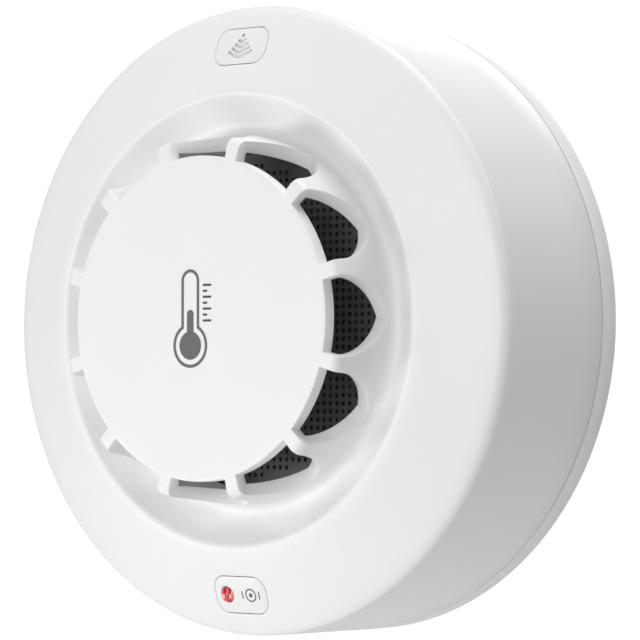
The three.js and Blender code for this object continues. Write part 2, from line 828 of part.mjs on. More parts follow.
addPart('front_cover', frontCover(), 'whiteShell');
addPart('insect_screen', insectScreen(), 'screenBlack');
addPart('sound_grille', soundGrille(), 'whiteShell');
addPart('test_button', testButton(), 'whiteShell');
addPart('button_lens', buttonLens(), 'redLens');
addPart('switch_body', switchBody(), 'chipBlack');
addPart('switch_plunger', switchPlunger(), 'chipBlack');
addPart('status_led', statusLed(), 'redLens');
addPart('mounting_base', mountingBase(), 'whiteShell');
addPart('rear_cover', rearCover(), 'whiteShell');
addPart('battery_door', batteryDoor(), 'whiteShell');
addPart('contact_link', contactLink(), 'tinPlate');
for (const [number, side] of [[1, 1], [2, -1]]) {
  addPart(`battery_cell_${number}`, cell(side), 'canBlue');
  addPart(`battery_spring_${number}`, cellSpring(side), 'steel');
  addPart(`contact_terminal_${number}`, contactTerminal(side), 'tinPlate');
}
addPart('main_board', mainBoard(), 'boardGreen');
addPart('radio_module', radioModule(), 'boardGreen');
addPart('radio_shield', radioShield(), 'tinPlate');
addPart('control_chip', controlChip(), 'chipBlack');
addPart('capacitor', capacitor(), 'canBlue');
addPart('sound_coil', soundCoil(), 'copper');
addPart('sounder_case', sounderCase(), 'chipBlack');
addPart('sounder_disc', sounderDisc(), 'brass');
addPart('thermistor_sleeve', thermistorSleeve(), 'innerPlastic');
addPart('thermistor', thermistor(), 'beadAmber');
for (let i = 0; i < housingScrewCount; i += 1) {
  addPart(`housing_screw_${i + 1}`, housingScrew(i), 'steel');
}
for (let i = 0; i < postAngles().length; i += 1) {
  addPart(`board_screw_${i + 1}`, boardScrew(i), 'steel');
}

// Local Z is out of the wall: turn the detector upright so that it faces -Y.
group.rotation.x = Math.PI / 2;

export default group;
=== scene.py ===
# Visual model of a round wall-mounted heat detector: a white cover with a raised air cage, a black insect
# screen behind its pointed windows, a test key with a red light guide and a small sound outlet.
# Pieces are drawn lying on their back, with +Z pointing out of the wall, and are then stood up to face -Y.
import math

import bmesh
import bpy
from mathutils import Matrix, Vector


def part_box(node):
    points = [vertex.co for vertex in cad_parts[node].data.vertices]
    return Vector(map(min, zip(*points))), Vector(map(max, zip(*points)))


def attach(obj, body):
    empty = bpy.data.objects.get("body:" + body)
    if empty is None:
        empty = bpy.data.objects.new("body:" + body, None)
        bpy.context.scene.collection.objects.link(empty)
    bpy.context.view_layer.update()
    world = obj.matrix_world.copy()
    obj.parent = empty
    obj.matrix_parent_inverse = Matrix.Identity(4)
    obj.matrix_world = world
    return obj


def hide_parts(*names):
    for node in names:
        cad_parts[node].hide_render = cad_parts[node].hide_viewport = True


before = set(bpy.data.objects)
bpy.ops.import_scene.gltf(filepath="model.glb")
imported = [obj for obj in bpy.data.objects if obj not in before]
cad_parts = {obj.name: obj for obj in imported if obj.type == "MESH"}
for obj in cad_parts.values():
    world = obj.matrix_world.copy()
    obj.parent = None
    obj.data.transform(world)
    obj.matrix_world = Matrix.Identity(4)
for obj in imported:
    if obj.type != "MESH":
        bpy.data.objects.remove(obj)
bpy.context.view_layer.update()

MM = 0.001
WELD = 2e-6

# ---- Sizes in millimetres, heights measured from the wall --------------------------------------------

cover_low, cover_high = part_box("front_cover")
base_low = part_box("mounting_base")[0]
screen_low, screen_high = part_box("insect_screen")

BODY_RADIUS = cover_high.x / MM
CAP_TOP = -cover_low.y / MM
COVER_FOOT = -cover_high.y / MM
CLEARANCE = 0.3
BAND_HEIGHT = COVER_FOOT - 0.4

RIM_RADIUS = 58.0
RIM_DROP = 14.7
RIM_HEIGHT = CAP_TOP - RIM_DROP
SHOULDER_RADIUS = 59.6
SHOULDER_DEPTH = 2.2
SHOULDER_FULLNESS = 2.6
RING_INNER = 42.7
RING_RISE = 5.1
RING_SLOPE = RING_RISE / (RIM_RADIUS - RING_INNER)
RING_START = 43.3
DISH_RADIUS = 37.0
DISH_DROP = 14.3
DISH_FLOOR = CAP_TOP - DISH_DROP
SHELL_WALL = 2.4
DISH_UNDER = DISH_FLOOR - SHELL_WALL

CAP_RADIUS = 30.3
CAP_THICKNESS = 2.6
CAP_UNDER = CAP_TOP - CAP_THICKNESS
CAGE_RADIUS = 34.2
CAGE_WALL = 2.2
CAGE_INNER = CAGE_RADIUS - CAGE_WALL
CAGE_FLARE = 0.7
CAGE_ROOT = CAGE_RADIUS + CAGE_FLARE
CAGE_CORNER = 1.8
ROOT_ROUND_SHARE = 0.8
ROOT_ROUND = (DISH_RADIUS - CAGE_ROOT) * ROOT_ROUND_SHARE
WINDOW_COUNT = 12
HALF_PITCH = 180 / WINDOW_COUNT
RIB_WIDTH = 2.7
WINDOW_DROP = 12.7
WINDOW_TIP = CAP_TOP - WINDOW_DROP
WINDOW_SPRING = CAP_TOP - 1.2
WINDOW_COLUMNS = 5
RIB_COLUMNS = 5
CAGE_ROWS = 13
RING_ROWS = 8
SHOULDER_ROWS = 6
SIDE_ROWS = 4
BLEND_ROWS = 7
EDGE_ROUND = 0.16

SCREEN_TOP = -screen_low.y / MM
SCREEN_FOOT = -screen_high.y / MM
SCREEN_RADIUS = screen_high.x / MM
SCREEN_PITCH = 1.5
SCREEN_HUB = 3.5
SCREEN_THICKNESS = 0.9
HOLE_WIDE = 0.62
HOLE_TALL = 0.78
MESH_OUTER = 30.2
MESH_INNER = 5.2

KEY_WIDTH = 12
KEY_HEIGHT = 6.6
KEY_CORNER = 2.5
KEY_CIRCLE = 51.8
KEY_FIT = 0.14
KEY_ROUND = 0.22
LENS_RADIUS = 1.45
LENS_GAP = 0.12
FLUTE_DEPTH = 0.09
FLUTE_WAVES = 2.6
LENS_OFFSET = -3.3
MARK_OFFSET = 2.4
SLOT_WIDTH = 0.62
GAUZE_DEPTH = 0.7
SLOT_RADII = (1.2, 2.2, 3.15, 4.1)
SLOT_SPREAD = 40
SLOT_CENTRE = 2.1

BASE_PLATE = 2.0
UPSTAND_OUTER = 57.0
UPSTAND_WALL = 1.4
HOOK_COUNT = 3
HOOK_START = 38
HOOK_SPAN = 12
HOOK_RADIUS = 47.0
HOOK_TOP = -base_low.y / MM
WALL_SLOT_CIRCLE = 30.0
WALL_SLOT_WIDTH = 4.8
WALL_SLOT_LENGTH = 13.0
KEYHOLE_RADIUS = 4.4

TURN_STEPS = 192

# Heights of cutting tools that pass right through the ring.
TOOL_LOW = 20.0
TOOL_HIGH = 60.0


def ring_height(radius):
    """Height of the sloping ring face at a distance from the middle."""
    return RIM_HEIGHT + (RIM_RADIUS - radius) * RING_SLOPE


# ---- Working with pieces -----------------------------------------------------------------------------

def select_only(*pieces):
    """Selects these pieces alone, in object mode, with the first one active."""
    if bpy.context.object and bpy.context.object.mode != "OBJECT":
        bpy.ops.object.mode_set(mode="OBJECT")
    bpy.ops.object.select_all(action="DESELECT")
    for piece in pieces:
        piece.select_set(True)
    if pieces:
        bpy.context.view_layer.objects.active = pieces[0]


def edit(piece):
    select_only(piece)
    bpy.ops.object.mode_set(mode="EDIT")


def rest():
    bpy.ops.object.mode_set(mode="OBJECT")


def pick(piece, kind, wanted):
    """In edit mode, selects the vertices, edges or faces that a test wants."""
    bpy.ops.mesh.select_mode(type=kind)
    bpy.ops.mesh.select_all(action="DESELECT")
    mesh = bmesh.from_edit_mesh(piece.data)
    items = {"VERT": mesh.verts, "EDGE": mesh.edges, "FACE": mesh.faces}[kind]
    for item in [one for one in items if wanted(one)]:
        item.select_set(True)
    mesh.select_flush_mode()
    bmesh.update_edit_mesh(piece.data)


def tidy_mesh():
    """In edit mode, welds what touches and turns every face outwards."""
    bpy.ops.mesh.select_all(action="SELECT")
    bpy.ops.mesh.remove_doubles(threshold=WELD)
    bpy.ops.mesh.normals_make_consistent(inside=False)


def face_up(piece, face):
    """Turns the whole mesh over if the given face looks down."""
    if face.normal.z < 0:
        edit(piece)
        bpy.ops.mesh.select_all(action="SELECT")
        bpy.ops.mesh.flip_normals()
        rest()


def apply_modifier(piece, kind, **values):
    select_only(piece)
    modifier = piece.modifiers.new(kind.lower(), kind)
    for name, value in values.items():
        setattr(modifier, name, value)
    bpy.ops.object.modifier_apply(modifier=modifier.name)


def combine(piece, tool, operation):
    """Cuts, joins or intersects a piece with a tool, which is used up."""
    apply_modifier(piece, "BOOLEAN", object=tool, operation=operation, solver="EXACT")
    bpy.data.objects.remove(tool, do_unlink=True)


def join(pieces):
    select_only(*pieces)
    bpy.ops.object.join()
    return bpy.context.object


def move(piece, x=0.0, y=0.0, z=0.0, turn=0.0):
    """Turns a piece about its own vertical axis, then moves it, and keeps the place in its mesh."""
    select_only(piece)
    piece.rotation_euler.z = math.radians(turn)
    piece.location = (x * MM, y * MM, z * MM)
    bpy.ops.object.transform_apply(location=True, rotation=True, scale=True)
    return piece


def turned(profile, steps=TURN_STEPS):
    """A loop of edges laid along a [radius, height] profile and spun about the middle."""
    select_only()
    bpy.ops.mesh.primitive_circle_add(vertices=len(profile), radius=MM)
    piece = bpy.context.object
    for vertex, (radius, height) in zip(piece.data.vertices, profile):
        vertex.co = (radius * MM, 0, height * MM)
    edit(piece)
    pick(piece, "EDGE", lambda edge: all(end.co.x < WELD for end in edge.verts))
    bpy.ops.mesh.delete(type="EDGE")
    bpy.ops.mesh.select_all(action="SELECT")
    bpy.ops.mesh.spin(steps=steps, angle=math.tau, center=(0, 0, 0), axis=(0, 0, 1))
    tidy_mesh()
    rest()
    return piece


def rod(radius, low, high, x=0.0, y=0.0, sides=48):
    select_only()
    middle = (x * MM, y * MM, (low + high) / 2 * MM)
    depth = (high - low) * MM
    bpy.ops.mesh.primitive_cylinder_add(vertices=sides, radius=radius * MM, depth=depth, location=middle)
    return move_origin()


def block(width, height, low, high, x=0.0, y=0.0, corner=0.0, corner_steps=8):
    """A box whose upright edges are rounded by corner."""
    select_only()
    bpy.ops.mesh.primitive_cube_add(size=1)
    piece = bpy.context.object
    piece.scale = (width * MM, height * MM, (high - low) * MM)
    piece.location = (x * MM, y * MM, (low + high) / 2 * MM)
    move_origin()
    if corner:
        edit(piece)
        pick(piece, "EDGE", lambda edge: abs(edge.verts[0].co.z - edge.verts[1].co.z) > WELD)
        bpy.ops.mesh.bevel(offset=corner * MM, offset_type="OFFSET", segments=corner_steps, affect="EDGES")
        rest()
    return piece


def move_origin():
    """Puts the active piece's object at the origin, with its place in its mesh."""
    piece = bpy.context.object
    select_only(piece)
    bpy.ops.object.transform_apply(location=True, rotation=True, scale=True)
    return piece


def soften(piece, width, wanted, steps=3):
    """Rounds the sharp edges that a test wants by width."""
    edit(piece)
    sharp = 0.6
    pick(piece, "EDGE", lambda edge: edge.is_manifold and edge.calc_face_angle(0) > sharp and wanted(edge))
    bpy.ops.mesh.bevel(
        offset=width * MM, offset_type="OFFSET", segments=steps, affect="EDGES", clamp_overlap=True,
    )
    rest()


def arc(radius, height, size, start, end, steps):
    """Points along a circular arc of a profile, angles in degrees."""
    angles = [math.radians(start + (end - start) * i / steps) for i in range(steps + 1)]
    return [(radius + size * math.cos(angle), height + size * math.sin(angle)) for angle in angles]


def along(path, share):
    """The point at a share of the length of a profile path."""
    lengths = [math.dist(a, b) for a, b in zip(path, path[1:])]
    left = share * sum(lengths)
    for (a, b), length in zip(zip(path, path[1:]), lengths):
        if left <= length + 1e-9:
            part = left / length
            return (a[0] + (b[0] - a[0]) * part, a[1] + (b[1] - a[1]) * part)
        left -= length
    return path[-1]


def stand_up(piece, name, material, slot, body, *nodes, smooth=32):
    """Stands a finished piece against the wall, names it and hands it to the frame."""
    select_only(piece)
    piece.rotation_euler.x = math.pi / 2
    bpy.ops.object.transform_apply(location=True, rotation=True, scale=True)
    bpy.ops.object.shade_smooth_by_angle(angle=math.radians(smooth))
    piece.name = piece.data.name = name
    piece.data.materials.clear()
    piece.data.materials.append(material)
    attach(piece, body)
    if nodes:
        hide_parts(*nodes)
    return piece


# ---- Shared surface effects --------------------------------------------------------------------------

def new_group(name, inputs, outputs):
    group = bpy.data.node_groups.new(name, "ShaderNodeTree")
    for label, value in inputs:
        socket = group.interface.new_socket(label, in_out="INPUT", socket_type="NodeSocketFloat")
        socket.default_value = value
    for label in outputs:
        group.interface.new_socket(label, in_out="OUTPUT", socket_type="NodeSocketFloat")
    return group, group.nodes.new("NodeGroupInput"), group.nodes.new("NodeGroupOutput")


def add_noise(nodes, links, vector, scale, detail=2.0, roughness=0.5):
    noise = nodes.new("ShaderNodeTexNoise")
    noise.inputs["Detail"].default_value = detail
    noise.inputs["Roughness"].default_value = roughness
    links.new(vector, noise.inputs["Vector"])
    if isinstance(scale, (int, float)):
        noise.inputs["Scale"].default_value = scale
    else:
        links.new(scale, noise.inputs["Scale"])
    return noise.outputs["Fac"]


def moulded_skin():
    """The spark-eroded skin of a moulding: a fine grain, a broad mottle and rare specks of dust."""
    group, given, result = new_group("moulded_skin", [
        ("Grain per metre", 3200.0), ("Mottle per metre", 55.0), ("Specks per metre", 900.0),
    ], ["Grain", "Mottle", "Specks"])
    nodes, links = group.nodes, group.links
    place = nodes.new("ShaderNodeTexCoord").outputs["Object"]
    grain = add_noise(nodes, links, place, given.outputs["Grain per metre"], 3.0, 0.6)
    mottle = add_noise(nodes, links, place, given.outputs["Mottle per metre"], 4.0, 0.55)
    specks = add_noise(nodes, links, place, given.outputs["Specks per metre"], 1.0, 0.4)
    ramp = nodes.new("ShaderNodeMapRange")
    ramp.inputs["From Min"].default_value = 0.76
    ramp.inputs["From Max"].default_value = 0.9
    links.new(specks, ramp.inputs["Value"])
    links.new(grain, result.inputs["Grain"])
    links.new(mottle, result.inputs["Mottle"])
    links.new(ramp.outputs["Result"], result.inputs["Specks"])
    return group


def drawn_metal():
    """Fine drawing lines along one way of a metal surface, with a cloudy tarnish."""
    group, given, result = new_group("drawn_metal", [
        ("Lines per metre", 2600.0), ("Tarnish per metre", 260.0),
    ], ["Lines", "Tarnish"])
    nodes, links = group.nodes, group.links
    place = nodes.new("ShaderNodeTexCoord").outputs["Object"]
    stretch = nodes.new("ShaderNodeMapping")
    stretch.inputs["Scale"].default_value = (0.06, 1.0, 1.0)
    links.new(place, stretch.inputs["Vector"])
    lines = add_noise(nodes, links, stretch.outputs["Vector"], given.outputs["Lines per metre"], 3.0, 0.7)
    tarnish = add_noise(nodes, links, place, given.outputs["Tarnish per metre"], 5.0, 0.6)
    links.new(lines, result.inputs["Lines"])
    links.new(tarnish, result.inputs["Tarnish"])
    return group


SKIN = moulded_skin()
METAL = drawn_metal()


# ---- Materials ---------------------------------------------------------------------------------------

def start_material(name):
    material = bpy.data.materials.new(name)
    material.use_nodes = True
    nodes, links = material.node_tree.nodes, material.node_tree.links
    return material, nodes, links, nodes["Principled BSDF"]


def use_group(nodes, group, **values):
    node = nodes.new("ShaderNodeGroup")
    node.node_tree = group
    for name, value in values.items():
        node.inputs[name.replace("_", " ")].default_value = value
    return node.outputs


def blend_colours(nodes, links, factor, first, second):
    mix = nodes.new("ShaderNodeMix")
    mix.data_type = "RGBA"
    links.new(factor, mix.inputs["Factor"])
    for socket, colour in ((mix.inputs["A"], first), (mix.inputs["B"], second)):
        if isinstance(colour, tuple):
            socket.default_value = (*colour, 1)
        else:
            links.new(colour, socket)
    return mix.outputs["Result"]


def fill_ramp(ramp, stops):
    """Gives a colour ramp its stops: the first and last go in the two elements it starts with."""
    for element, (position, colour) in zip(ramp.elements, (stops[0], stops[-1])):
        element.position, element.color = position, colour
    for position, colour in stops[1:-1]:
        ramp.elements.new(position).color = colour


def spread(nodes, links, value, low, high):
    """Spreads a mask of 0 to 1 between two values."""
    node = nodes.new("ShaderNodeMapRange")
    node.inputs["To Min"].default_value = low
    node.inputs["To Max"].default_value = high
    links.new(value, node.inputs["Value"])
    return node.outputs["Result"]


def add_relief(nodes, links, shader, height, depth):
    bump = nodes.new("ShaderNodeBump")
    bump.inputs["Strength"].default_value = 1.0
    bump.inputs["Distance"].default_value = depth
    links.new(height, bump.inputs["Height"])
    links.new(bump.outputs["Normal"], shader.inputs["Normal"])


def plastic(name, light, dark, speck, gloss=(0.36, 0.46), grain=3200.0, mottle=55.0, depth=4e-6):
    """A moulded plastic: two close tones in a broad mottle, fine grain and rare specks."""
    material, nodes, links, shader = start_material(name)
    skin = use_group(nodes, SKIN, Grain_per_metre=grain, Mottle_per_metre=mottle)
    tone = blend_colours(nodes, links, skin["Mottle"], light, dark)
    links.new(blend_colours(nodes, links, skin["Specks"], tone, speck), shader.inputs["Base Color"])
    links.new(spread(nodes, links, skin["Mottle"], *gloss), shader.inputs["Roughness"])
    add_relief(nodes, links, shader, skin["Grain"], depth)
    return material


def metal(name, light, dark, gloss=(0.22, 0.42), lines=2600.0, depth=3e-6):
    """A drawn or plated metal with fine lines and a cloudy tarnish."""
    material, nodes, links, shader = start_material(name)
    drawn = use_group(nodes, METAL, Lines_per_metre=lines)
    links.new(blend_colours(nodes, links, drawn["Tarnish"], light, dark), shader.inputs["Base Color"])
    links.new(spread(nodes, links, drawn["Lines"], *gloss), shader.inputs["Roughness"])
    shader.inputs["Metallic"].default_value = 1.0
    add_relief(nodes, links, shader, drawn["Lines"], depth)
    return material


def light_guide_red():
    """Clear red plastic with upright flutes; the pale and deep stripes that the flutes show are painted into
    its colour as painted highlights and painted shade.
    """
    material, nodes, links, shader = start_material("light_guide_red")
    place = nodes.new("ShaderNodeTexCoord").outputs["Object"]
    centre = nodes.new("ShaderNodeMapping")
    centre.inputs["Location"].default_value = (0.5 - LENS_OFFSET * MM / (2 * LENS_RADIUS * MM), 0, 0)
    centre.inputs["Scale"].default_value = (1 / (2 * LENS_RADIUS * MM), 1, 1)
    links.new(place, centre.inputs["Vector"])
    split = nodes.new("ShaderNodeSeparateXYZ")
    links.new(centre.outputs["Vector"], split.inputs["Vector"])
    bands = nodes.new("ShaderNodeValToRGB")
    bands.color_ramp.interpolation = "EASE"
    # Painted light across the lens: the deep stops are painted shade and the pale stops painted highlights,
    # set between bright red stops.
    deep, bright, pale = (0.45, 0.010, 0.025, 1), (1.0, 0.13, 0.12, 1), (0.95, 0.38, 0.36, 1)
    stops = [(0.0, pale), (0.16, bright), (0.27, deep), (0.40, deep), (0.5, bright)]
    stops += [(0.6, deep), (0.75, deep), (0.86, bright), (1.0, pale)]
    fill_ramp(bands.color_ramp, stops)
    links.new(split.outputs["X"], bands.inputs["Fac"])
    skin = use_group(nodes, SKIN, Grain_per_metre=5200.0, Mottle_per_metre=600.0)
    tinted = blend_colours(nodes, links, skin["Specks"], bands.outputs["Color"], (0.75, 0.2, 0.2))
    links.new(tinted, shader.inputs["Base Color"])
    links.new(spread(nodes, links, skin["Mottle"], 0.08, 0.2), shader.inputs["Roughness"])
    shader.inputs["Coat Weight"].default_value = 0.6
    shader.inputs["Coat Roughness"].default_value = 0.05
    add_relief(nodes, links, shader, skin["Grain"], 2e-6)
    return material


def board_mask():
    """Green solder mask over copper tracks, which show as paler raised lines."""
    material, nodes, links, shader = start_material("board_solder_mask")
    place = nodes.new("ShaderNodeTexCoord").outputs["Object"]
    tracks = nodes.new("ShaderNodeTexBrick")
    for name, value in (("Scale", 300.0), ("Mortar Size", 0.035), ("Brick Width", 1.4), ("Row Height", 0.5)):
        tracks.inputs[name].default_value = value
    tracks.offset = 0.37
    flat = nodes.new("ShaderNodeMapping")
    flat.inputs["Rotation"].default_value = (math.pi / 2, 0, 0)
    links.new(place, flat.inputs["Vector"])
    links.new(flat.outputs["Vector"], tracks.inputs["Vector"])
    skin = use_group(nodes, SKIN, Grain_per_metre=1500.0, Mottle_per_metre=120.0)
    green = blend_colours(nodes, links, skin["Mottle"], (0.012, 0.085, 0.032), (0.018, 0.12, 0.045))
    tone = blend_colours(nodes, links, tracks.outputs["Fac"], green, (0.05, 0.22, 0.09))
    links.new(tone, shader.inputs["Base Color"])
    links.new(spread(nodes, links, skin["Mottle"], 0.25, 0.4), shader.inputs["Roughness"])
    add_relief(nodes, links, shader, tracks.outputs["Fac"], 3e-5)
    return material


def banded(name, axis, start, end, stops, gloss, metallic_stops=None):
    """A finish in bands along one axis of the piece, between two places in metres."""
    material, nodes, links, shader = start_material(name)
    split = nodes.new("ShaderNodeSeparateXYZ")
    links.new(nodes.new("ShaderNodeTexCoord").outputs["Object"], split.inputs["Vector"])
    reach = nodes.new("ShaderNodeMapRange")
    reach.inputs["From Min"].default_value = start
    reach.inputs["From Max"].default_value = end
    links.new(split.outputs[axis], reach.inputs["Value"])

    def ramp_of(marks):
        node = nodes.new("ShaderNodeValToRGB")
        node.color_ramp.interpolation = "CONSTANT"
        fill_ramp(node.color_ramp, marks)
        links.new(reach.outputs["Result"], node.inputs["Fac"])
        return node.outputs["Color"]

    skin = use_group(nodes, SKIN, Grain_per_metre=2400.0, Mottle_per_metre=200.0)
    tone = blend_colours(nodes, links, skin["Specks"], ramp_of(stops), (0.4, 0.4, 0.4))
    links.new(tone, shader.inputs["Base Color"])
    if metallic_stops:
        links.new(ramp_of(metallic_stops), shader.inputs["Metallic"])
    links.new(spread(nodes, links, skin["Mottle"], *gloss), shader.inputs["Roughness"])
    add_relief(nodes, links, shader, skin["Grain"], 3e-6)
    return material


def wound_copper():
    """Enamelled wire wound round the coil's core."""
    material, nodes, links, shader = start_material("wound_copper")
    wire = nodes.new("ShaderNodeTexWave")
    wire.bands_direction = "Y"
    wire.inputs["Scale"].default_value = 1300.0
    wire.inputs["Distortion"].default_value = 0.4
    links.new(nodes.new("ShaderNodeTexCoord").outputs["Object"], wire.inputs["Vector"])
    tone = blend_colours(nodes, links, wire.outputs["Fac"], (0.20, 0.05, 0.02), (0.62, 0.22, 0.10))
    links.new(tone, shader.inputs["Base Color"])
    shader.inputs["Metallic"].default_value = 1.0
    drawn = use_group(nodes, METAL, Lines_per_metre=4000.0)
    links.new(spread(nodes, links, drawn["Tarnish"], 0.25, 0.45), shader.inputs["Roughness"])
    add_relief(nodes, links, shader, wire.outputs["Fac"], 6e-5)
    return material


COVER_WHITE = plastic("cover_white", (0.885, 0.885, 0.885), (0.865, 0.866, 0.866), (0.80, 0.80, 0.79))
KEY_WHITE = plastic(
    "key_white", (0.875, 0.875, 0.875), (0.855, 0.856, 0.856), (0.79, 0.79, 0.78),
    gloss=(0.32, 0.42), grain=4200.0,
)
BASE_WHITE = plastic(
    "base_white", (0.87, 0.87, 0.868), (0.84, 0.842, 0.84), (0.76, 0.76, 0.74),
    gloss=(0.42, 0.56), grain=2400.0,
)
SCREEN_BLACK = plastic(
    "screen_black", (0.075, 0.075, 0.077), (0.095, 0.095, 0.097), (0.13, 0.13, 0.13),
    gloss=(0.45, 0.6), grain=2600.0, mottle=160.0,
)
MARK_GREY = plastic(
    "mark_grey", (0.115, 0.115, 0.118), (0.14, 0.14, 0.143), (0.2, 0.2, 0.2),
    gloss=(0.5, 0.62), grain=6000.0, mottle=500.0, depth=1e-6,
)
TICK_GREY = plastic(
    "tick_grey", (0.05, 0.05, 0.052), (0.065, 0.065, 0.067), (0.12, 0.12, 0.12),
    gloss=(0.5, 0.62), grain=6000.0, mottle=500.0, depth=1e-6,
)
INNER_PLASTIC = plastic(
    "inner_plastic", (0.76, 0.76, 0.73), (0.71, 0.71, 0.68), (0.55, 0.55, 0.5),
    gloss=(0.45, 0.62), grain=2000.0,
)
CHIP_BLACK = plastic(
    "chip_black", (0.012, 0.012, 0.013), (0.02, 0.02, 0.022), (0.06, 0.06, 0.06),
    gloss=(0.35, 0.5), grain=5200.0, mottle=400.0,
)
BEAD_AMBER = plastic(
    "bead_amber", (0.22, 0.09, 0.03), (0.15, 0.05, 0.015), (0.3, 0.14, 0.06),
    gloss=(0.15, 0.3), grain=3000.0, mottle=900.0,
)
LIGHT_RED = light_guide_red()
TIN_PLATE = metal("tin_plate", (0.62, 0.63, 0.64), (0.5, 0.51, 0.52))
SCREW_STEEL = metal("screw_steel", (0.44, 0.45, 0.46), (0.33, 0.34, 0.35), (0.28, 0.5), 3800.0)
BRASS = metal("brass_disc", (0.60, 0.42, 0.16), (0.46, 0.31, 0.12))
COPPER = wound_copper()
BOARD_GREEN = board_mask()
STEEL_BAND, WRAP_BAND, GOLD_BAND = (0.55, 0.56, 0.57, 1), (0.022, 0.035, 0.075, 1), (0.42, 0.26, 0.07, 1)
SHINY, DULL = (1, 1, 1, 1), (0, 0, 0, 1)


def cell_wrap(node, positive):
    """The sleeve of a cell: a dark body, a gold shoulder at its positive end and bare steel at both ends."""
    low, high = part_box(node)
    stops = [(0.0, STEEL_BAND), (0.03, WRAP_BAND), (0.74, GOLD_BAND), (0.94, STEEL_BAND)]
    shine = [(0.0, SHINY), (0.03, DULL), (0.74, SHINY)]
    start, end = (low.x, high.x) if positive > 0 else (high.x, low.x)
    return banded(f"{node}_wrap", "X", start, end, stops, (0.22, 0.36), shine)


# ---- Front cover -------------------------------------------------------------------------------------

def window_half_angle(height):
    """Half the opening of an air window at a height, in degrees: straight sides over a pointed arch."""
    widest = HALF_PITCH - math.degrees(math.asin(RIB_WIDTH / 2 / CAP_RADIUS))
    if height >= WINDOW_SPRING:
        return widest
    half = CAGE_RADIUS * math.tan(math.radians(widest))
    rise = WINDOW_SPRING - WINDOW_TIP
    bow = (half ** 2 + rise ** 2) / (2 * half)
    aside = half - bow + math.sqrt(max(bow ** 2 - (WINDOW_SPRING - height) ** 2, 0))
    return math.degrees(math.atan2(max(aside, 0), CAGE_RADIUS))


def cover_stations():
    """Matching outer and inner points of the cover from the middle of the cap to its foot, and the numbers
    of the stations where the windows begin and come to a point."""
    circles = (0, 5, 11, 17, 22, 26.5, 29.2, CAP_RADIUS)
    pairs = [((radius, CAP_TOP), (radius, CAP_UNDER)) for radius in circles]
    first = len(pairs) - 1
    corner = arc(CAGE_RADIUS - CAGE_CORNER, CAP_TOP - CAGE_CORNER, CAGE_CORNER, 90, 0, 6)
    for i, point in enumerate(corner):
        reach = CAP_RADIUS + (CAGE_INNER - CAP_RADIUS) * (i + 1) / len(corner)
        pairs.append((point, (reach, CAP_UNDER)))
    wall_top, wall_foot = CAP_TOP - CAGE_CORNER, DISH_FLOOR + ROOT_ROUND
    fall = (CAP_UNDER - WINDOW_TIP) / (wall_top - WINDOW_TIP)
    for i in range(1, CAGE_ROWS + 1):
        height = wall_top + (wall_foot - wall_top) * i / CAGE_ROWS
        radius = CAGE_RADIUS + (CAGE_ROOT - CAGE_RADIUS) * i / CAGE_ROWS
        pairs.append(((radius, height), (CAGE_INNER, CAP_UNDER - (wall_top - height) * fall)))
    tip_angle = 180 + math.degrees(math.asin((wall_foot - WINDOW_TIP) / ROOT_ROUND))
    root = arc(CAGE_ROOT + ROOT_ROUND, wall_foot, ROOT_ROUND, tip_angle, 270, 5)
    pairs.append((root[0], (CAGE_INNER, WINDOW_TIP)))
    last = len(pairs) - 1
    under_corner = (CAGE_INNER + 2.2, DISH_UNDER)
    under_root = [(CAGE_INNER, WINDOW_TIP), (CAGE_INNER, DISH_UNDER), under_corner]
    for i, point in enumerate(root[1:]):
        pairs.append((point, along(under_root, (i + 1) / (len(root) - 1))))
    dish = [(37.3, DISH_FLOOR + 0.12), (38.0, DISH_FLOOR + 0.5), (39.4, DISH_FLOOR + 1.7)]
    dish += [(40.8, DISH_FLOOR + 3.0)]
    dish += [(41.9, DISH_FLOOR + 4.05), (42.3, DISH_FLOOR + 4.4), (42.75, ring_height(42.75) - 0.16)]
    ring_start = ring_height(RING_START)
    dish += [(RING_START, ring_start)]
    under_dish = [under_corner, (DISH_RADIUS, DISH_UNDER), (RING_START, ring_start - SHELL_WALL)]
    for i, point in enumerate(dish):
        pairs.append((point, along(under_dish, (i + 1) / len(dish))))
    for i in range(1, RING_ROWS + 1):
        radius = RING_START + (RIM_RADIUS - RING_START) * i / RING_ROWS
        inner = RING_START + (RIM_RADIUS - SHELL_WALL / 2 - RING_START) * i / RING_ROWS
        pairs.append(((radius, ring_height(radius)), (inner, ring_height(inner) - SHELL_WALL)))
    inner_side = BODY_RADIUS - SHELL_WALL
    start = pairs[-1][1]
    for i in range(1, SHOULDER_ROWS + 1):
        drop = i / SHOULDER_ROWS
        radius = RIM_RADIUS + (SHOULDER_RADIUS - RIM_RADIUS) * (1 - (1 - drop) ** SHOULDER_FULLNESS)
        inner = (start[0] + (inner_side - start[0]) * drop, start[1] - 1.6 * drop)
        pairs.append(((radius, RIM_HEIGHT - SHOULDER_DEPTH * drop), inner))
    side_top, inner_top = RIM_HEIGHT - SHOULDER_DEPTH, pairs[-1][1][1]
    for i in range(1, SIDE_ROWS + 1):
        share = i / SIDE_ROWS
        radius = SHOULDER_RADIUS + (BODY_RADIUS - SHOULDER_RADIUS) * share
        height = side_top + (COVER_FOOT - side_top) * share
        pairs.append(((radius, height), (inner_side, inner_top + (COVER_FOOT - inner_top) * share)))
    return pairs, first, last


def cover_angle(row, column, height, last):
    """Where a column of the grid lies at a station, in degrees from the middle of a window."""
    if row <= last:
        opening = window_half_angle(height)
        if column <= WINDOW_COLUMNS:
            return opening * column / WINDOW_COLUMNS
        return opening + (HALF_PITCH - opening) * (column - WINDOW_COLUMNS) / RIB_COLUMNS
    gathered = HALF_PITCH * max(column - WINDOW_COLUMNS, 0) / RIB_COLUMNS
    even = HALF_PITCH * column / (WINDOW_COLUMNS + RIB_COLUMNS)
    share = min(1, (row - last) / BLEND_ROWS)
    return gathered + (even - gathered) * share


